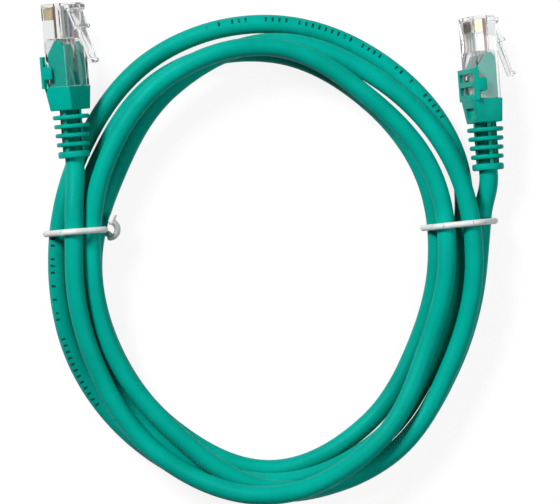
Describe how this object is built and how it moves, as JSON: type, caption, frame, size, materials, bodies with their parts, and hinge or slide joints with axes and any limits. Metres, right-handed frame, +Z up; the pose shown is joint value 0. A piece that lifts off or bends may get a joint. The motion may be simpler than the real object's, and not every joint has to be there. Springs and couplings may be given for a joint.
{
  "type": "ethernet patch cable",
  "caption": "Green twisted-pair ethernet patch cable, wound into a flat tied coil, with clear modular plugs in ribbed strain-relief boots at its ends.",
  "frame": {"origin": "on the surface that the coil lies on, under the middle of the part's box", "axes": "+Z up from the surface, +Y along the plugs towards their noses, +X to the right when seen from above"},
  "size_m": [0.1288, 0.1359, 0.0203],
  "materials": {
    "jacket": "satin",
    "boot": "satin",
    "clear_plastic": "clear gloss",
    "gold_contact": "gold plated",
    "tie": "satin",
    "wire_white_orange": "satin",
    "wire_orange": "satin",
    "wire_white_green": "satin",
    "wire_blue": "satin",
    "wire_white_blue": "satin",
    "wire_green": "satin",
    "wire_white_brown": "satin",
    "wire_brown": "satin"
  },
  "bodies": {
    "cord": {"left_plug_housing": "clear_plastic", "left_plug_contacts": "gold_contact", "left_strain_bar": "clear_plastic", "left_boot": "boot", "left_jacket_end": "jacket", "left_lead": "jacket", "left_tie": "tie", "left_wire_1": "wire_white_orange", "left_wire_2": "wire_orange", "left_wire_3": "wire_white_green", "left_wire_4": "wire_blue", "left_wire_5": "wire_white_blue", "left_wire_6": "wire_green", "left_wire_7": "wire_white_brown", "left_wire_8": "wire_brown", "cable_coil": "jacket", "right_plug_housing": "clear_plastic", "right_plug_contacts": "gold_contact", "right_strain_bar": "clear_plastic", "right_boot": "boot", "right_jacket_end": "jacket", "right_lead": "jacket", "right_tie": "tie", "right_wire_1": "wire_white_orange", "right_wire_2": "wire_orange", "right_wire_3": "wire_white_green", "right_wire_4": "wire_blue", "right_wire_5": "wire_white_blue", "right_wire_6": "wire_green", "right_wire_7": "wire_white_brown", "right_wire_8": "wire_brown"},
    "left_latch": {"left_plug_latch": "clear_plastic"},
    "right_latch": {"right_plug_latch": "clear_plastic"}
  },
  "joints": [
    {"name": "left_latch_flex", "type": "hinge", "parent": "cord", "child": "left_latch", "pos_m": [-0.0553, 0.06509, 0.01497], "axis": [0.4958, 0.0711, -0.8655], "range_deg": [0, 15], "stiffness_Nm_per_rad": 0.2},
    {"name": "right_latch_flex", "type": "hinge", "parent": "cord", "child": "right_latch", "pos_m": [0.05724, 0.06192, 0.00567], "axis": [-0.3081, -0.0237, -0.9511], "range_deg": [0, 15], "stiffness_Nm_per_rad": 0.2}
  ]
}
